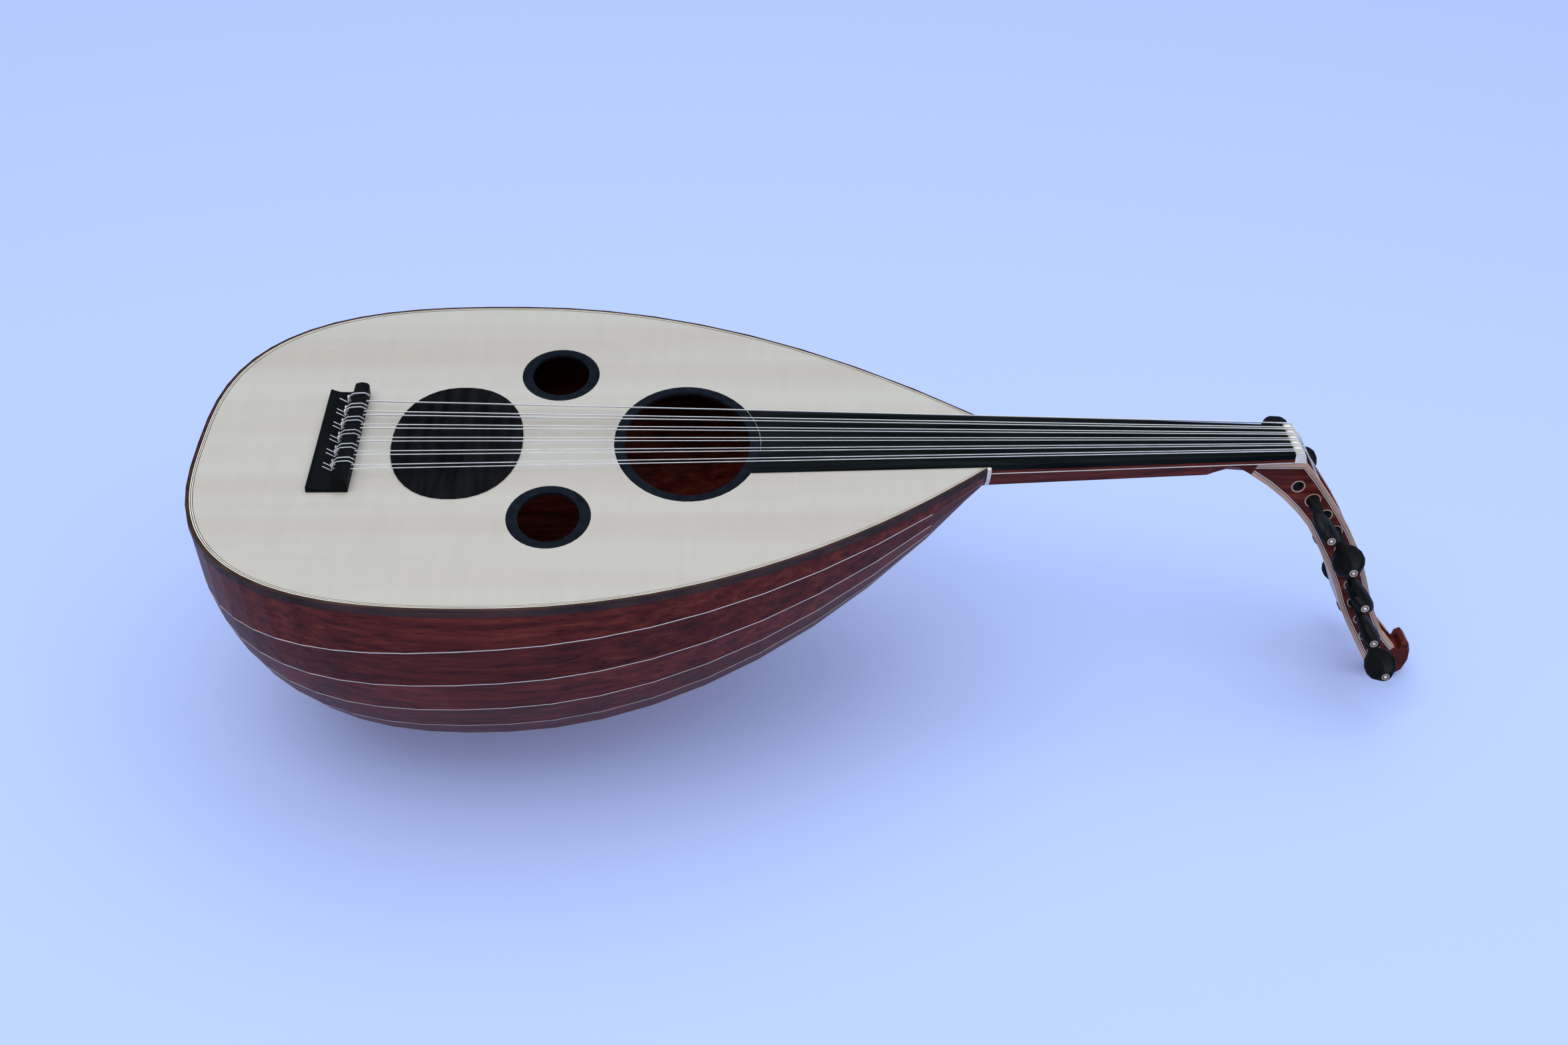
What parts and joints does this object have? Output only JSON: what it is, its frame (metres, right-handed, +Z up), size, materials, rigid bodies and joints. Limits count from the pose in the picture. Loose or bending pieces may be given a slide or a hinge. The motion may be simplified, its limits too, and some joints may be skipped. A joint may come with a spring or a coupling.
{
  "type": "oud",
  "caption": "Lute with a ribbed pear-shaped bowl, flat soundboard with oval sound holes, short neck, bent-back pegbox and turning pegs.",
  "frame": {"origin": "middle of the bounding box, on the ground under the bowl and the pegbox's end", "axes": "+X from the tail towards the pegbox, +Z up out of the soundboard"},
  "size_m": [0.828, 0.359, 0.2057],
  "materials": {
    "mahogany": "gloss varnish",
    "spruce_top": "satin",
    "spruce_inside": "bare",
    "rosewood": "satin",
    "ebony": "satin",
    "maple": "satin",
    "bone": "polished",
    "wound": "wound",
    "nylon": "clear"
  },
  "bodies": {
    "oud": {"rib_01": "mahogany", "rib_02": "mahogany", "rib_03": "mahogany", "rib_04": "mahogany", "rib_05": "mahogany", "rib_06": "mahogany", "rib_07": "mahogany", "rib_08": "mahogany", "rib_09": "mahogany", "rib_10": "mahogany", "rib_11": "mahogany", "rib_12": "mahogany", "rib_13": "mahogany", "rib_14": "mahogany", "rib_15": "mahogany", "rib_16": "mahogany", "rib_17": "mahogany", "rib_18": "mahogany", "rib_19": "mahogany", "neck": "mahogany", "pegbox_cheek_near": "mahogany", "pegbox_cheek_far": "mahogany", "finial": "mahogany", "soundboard": "spruce_top", "brace_1": "spruce_inside", "brace_2": "spruce_inside", "neck_block": "spruce_inside", "tail_block": "spruce_inside", "edge_binding": "rosewood", "main_hole_ring": "ebony", "near_hole_ring": "ebony", "far_hole_ring": "ebony", "strike_plate": "ebony", "bridge": "ebony", "fingerboard": "ebony", "pegbox_back": "maple", "nut": "bone", "neck_collar": "bone", "string_01": "wound", "string_02": "wound", "string_03": "wound", "string_04": "wound", "string_05": "wound", "string_06": "wound", "string_07": "wound", "string_08": "nylon", "string_09": "nylon", "string_10": "nylon", "string_11": "nylon"},
    "turning_peg_01": {"peg_01": "ebony"},
    "turning_peg_02": {"peg_02": "ebony"},
    "turning_peg_03": {"peg_03": "ebony"},
    "turning_peg_04": {"peg_04": "ebony"},
    "turning_peg_05": {"peg_05": "ebony"},
    "turning_peg_06": {"peg_06": "ebony"},
    "turning_peg_07": {"peg_07": "ebony"},
    "turning_peg_08": {"peg_08": "ebony"},
    "turning_peg_09": {"peg_09": "ebony"},
    "turning_peg_10": {"peg_10": "ebony"},
    "turning_peg_11": {"peg_11": "ebony"}
  },
  "joints": [
    {"name": "peg_01_turn", "type": "hinge", "parent": "oud", "child": "turning_peg_01", "pos_m": [0.305, 0, 0.16979], "axis": [0, 1, 0], "continuous": true},
    {"name": "peg_02_turn", "type": "hinge", "parent": "oud", "child": "turning_peg_02", "pos_m": [0.31702, 0, 0.15822], "axis": [0, 1, 0], "continuous": true},
    {"name": "peg_03_turn", "type": "hinge", "parent": "oud", "child": "turning_peg_03", "pos_m": [0.32823, 0, 0.14589], "axis": [0, 1, 0], "continuous": true},
    {"name": "peg_04_turn", "type": "hinge", "parent": "oud", "child": "turning_peg_04", "pos_m": [0.337, 0, 0.13172], "axis": [0, 1, 0], "continuous": true},
    {"name": "peg_05_turn", "type": "hinge", "parent": "oud", "child": "turning_peg_05", "pos_m": [0.3443, 0, 0.11672], "axis": [0, 1, 0], "continuous": true},
    {"name": "peg_06_turn", "type": "hinge", "parent": "oud", "child": "turning_peg_06", "pos_m": [0.35089, 0, 0.1014], "axis": [0, 1, 0], "continuous": true},
    {"name": "peg_07_turn", "type": "hinge", "parent": "oud", "child": "turning_peg_07", "pos_m": [0.35707, 0, 0.08591], "axis": [0, 1, 0], "continuous": true},
    {"name": "peg_08_turn", "type": "hinge", "parent": "oud", "child": "turning_peg_08", "pos_m": [0.36338, 0, 0.07047], "axis": [0, 1, 0], "continuous": true},
    {"name": "peg_09_turn", "type": "hinge", "parent": "oud", "child": "turning_peg_09", "pos_m": [0.37003, 0, 0.05517], "axis": [0, 1, 0], "continuous": true},
    {"name": "peg_10_turn", "type": "hinge", "parent": "oud", "child": "turning_peg_10", "pos_m": [0.37778, 0, 0.0404], "axis": [0, 1, 0], "continuous": true},
    {"name": "peg_11_turn", "type": "hinge", "parent": "oud", "child": "turning_peg_11", "pos_m": [0.386, 0, 0.02589], "axis": [0, 1, 0], "continuous": true}
  ]
}
